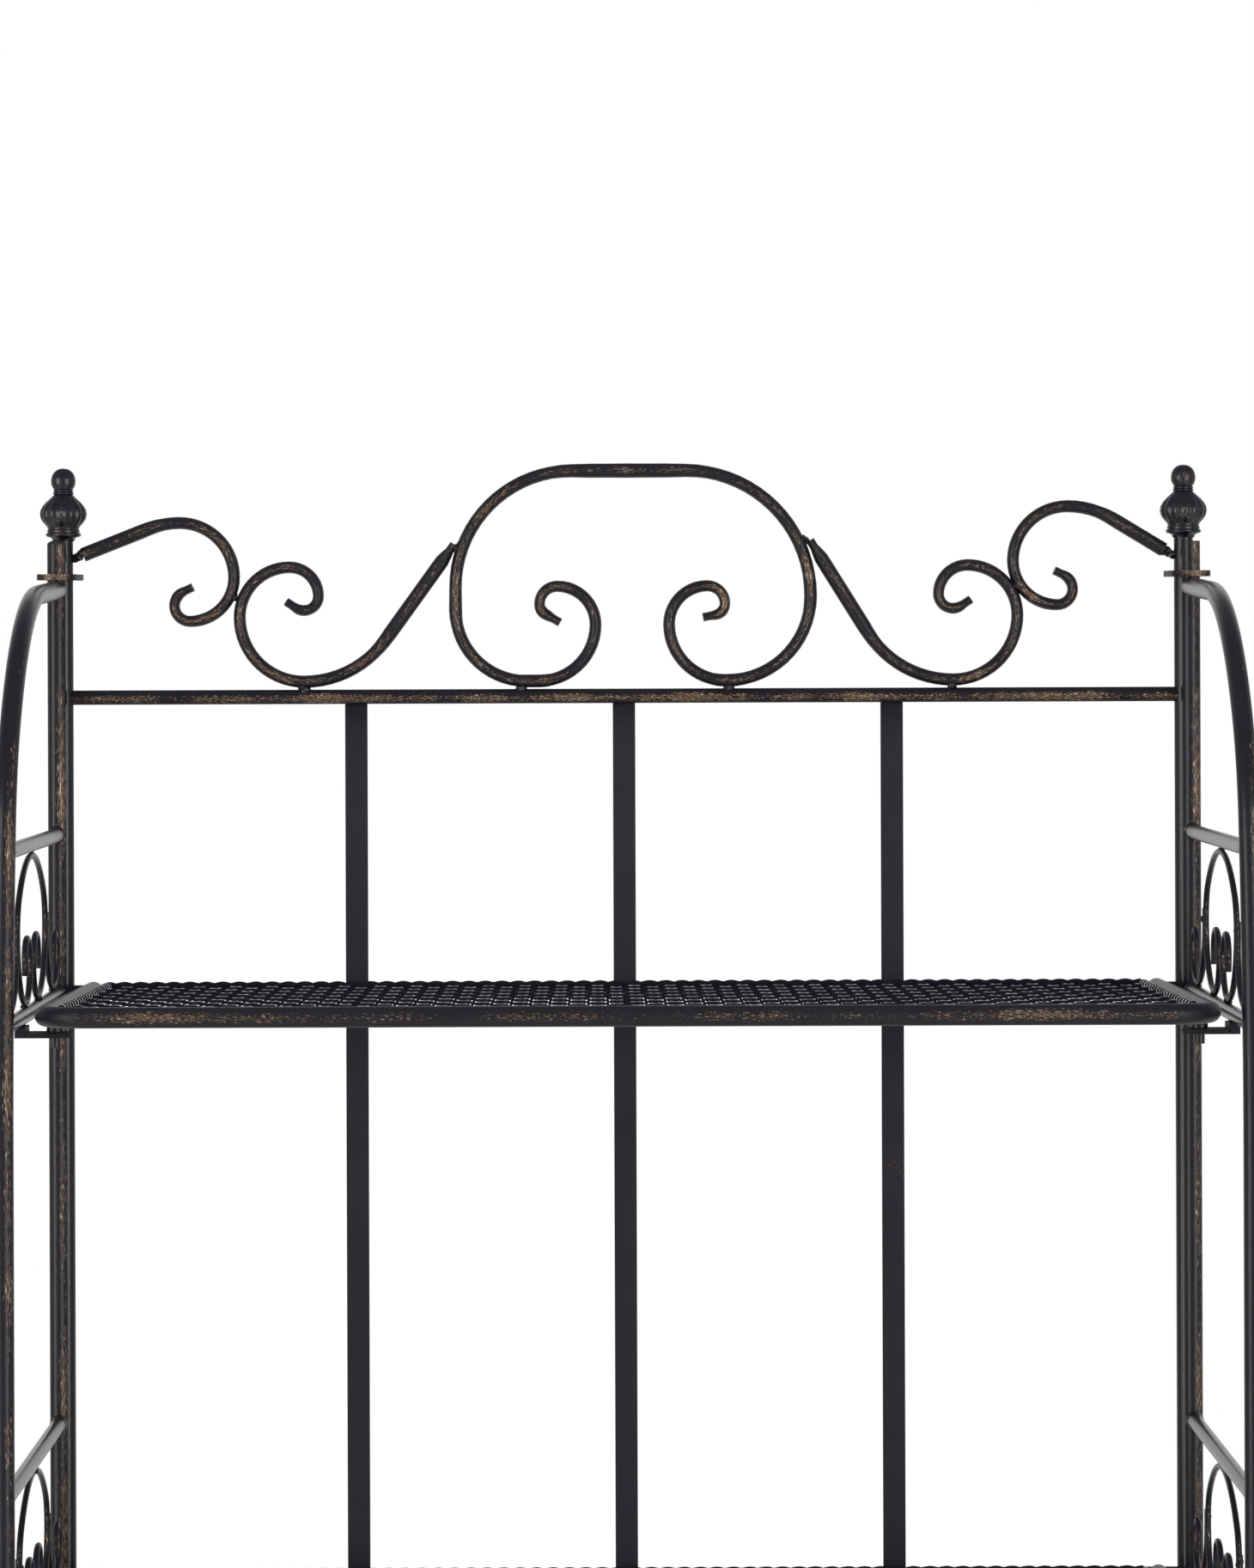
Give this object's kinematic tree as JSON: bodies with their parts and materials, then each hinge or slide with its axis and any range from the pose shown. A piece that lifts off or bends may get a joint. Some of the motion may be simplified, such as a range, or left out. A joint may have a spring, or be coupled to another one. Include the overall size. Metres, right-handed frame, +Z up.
{
  "type": "bakers rack",
  "caption": "Free-standing metal bakers rack with bow-fronted side frames, lift-off mesh shelves, a slatted back and a scrollwork crest between finials.",
  "frame": {"origin": "on the floor, under the middle of the rack's outline", "axes": "+X to the right seen from the front, -Y out of the front, +Z up"},
  "size_m": [0.793, 0.358, 1.6988],
  "materials": {
    "tube_paint": "black powder paint, semi-gloss, with dry-brushed bronze streaks",
    "rail_paint": "black paint with bronze dry-brushed along the lower front",
    "scroll_paint": "black paint with fine bronze flecks along the tube",
    "slat_paint": "plain dark paint, semi-gloss",
    "cast_paint": "black paint over a cast surface, bronze on the high places",
    "plate_paint": "black paint, bronze on the cut edges",
    "wire_paint": "black paint with bronze on the high side",
    "mesh_paint": "black paint with light worn strand edges",
    "pin_paint": "black paint",
    "black_plastic": "black moulded plastic, matt"
  },
  "bodies": {
    "rack": {"back_post_left": "tube_paint", "finial_left": "cast_paint", "slat_left": "slat_paint", "crest_s_scroll_left": "scroll_paint", "crest_outer_scroll_left": "scroll_paint", "side_rear_tube_left": "tube_paint", "bow_tube_left": "tube_paint", "joint_plates_left": "plate_paint", "side_upper_bars_left": "tube_paint", "side_lower_bars_left": "tube_paint", "shelf_tabs_left": "plate_paint", "side_scrolls_left_1": "wire_paint", "side_scrolls_left_2": "wire_paint", "side_scrolls_left_3": "wire_paint", "side_scrolls_left_4": "wire_paint", "back_post_right": "tube_paint", "finial_right": "cast_paint", "slat_right": "slat_paint", "crest_s_scroll_right": "scroll_paint", "crest_outer_scroll_right": "scroll_paint", "side_rear_tube_right": "tube_paint", "bow_tube_right": "tube_paint", "joint_plates_right": "plate_paint", "side_upper_bars_right": "tube_paint", "side_lower_bars_right": "tube_paint", "shelf_tabs_right": "plate_paint", "side_scrolls_right_1": "wire_paint", "side_scrolls_right_2": "wire_paint", "side_scrolls_right_3": "wire_paint", "side_scrolls_right_4": "wire_paint", "slat_centre": "slat_paint", "crest_arch": "scroll_paint", "top_rail": "rail_paint", "tube_cap_left": "black_plastic", "foot_plugs": "black_plastic", "back_rail_1": "rail_paint", "back_rail_2": "rail_paint", "back_rail_3": "rail_paint", "back_rail_4": "rail_paint"},
    "shelf_1": {"shelf_frame_1": "tube_paint", "shelf_edge_rod_1": "mesh_paint", "shelf_mesh_1": "mesh_paint", "shelf_pins_1": "pin_paint"},
    "shelf_2": {"shelf_frame_2": "tube_paint", "shelf_edge_rod_2": "mesh_paint", "shelf_mesh_2": "mesh_paint", "shelf_pins_2": "pin_paint"},
    "shelf_3": {"shelf_frame_3": "tube_paint", "shelf_edge_rod_3": "mesh_paint", "shelf_mesh_3": "mesh_paint", "shelf_pins_3": "pin_paint"},
    "shelf_4": {"shelf_frame_4": "tube_paint", "shelf_edge_rod_4": "mesh_paint", "shelf_mesh_4": "mesh_paint", "shelf_pins_4": "pin_paint"}
  },
  "joints": [
    {"name": "shelf_1_lift", "type": "slide", "parent": "rack", "child": "shelf_1", "axis": [0, 0, 1], "range_m": [0, 0.35]},
    {"name": "shelf_2_lift", "type": "slide", "parent": "rack", "child": "shelf_2", "axis": [0, 0, 1], "range_m": [0, 0.35]},
    {"name": "shelf_3_lift", "type": "slide", "parent": "rack", "child": "shelf_3", "axis": [0, 0, 1], "range_m": [0, 0.35]},
    {"name": "shelf_4_lift", "type": "slide", "parent": "rack", "child": "shelf_4", "axis": [0, 0, 1], "range_m": [0, 0.25]}
  ]
}
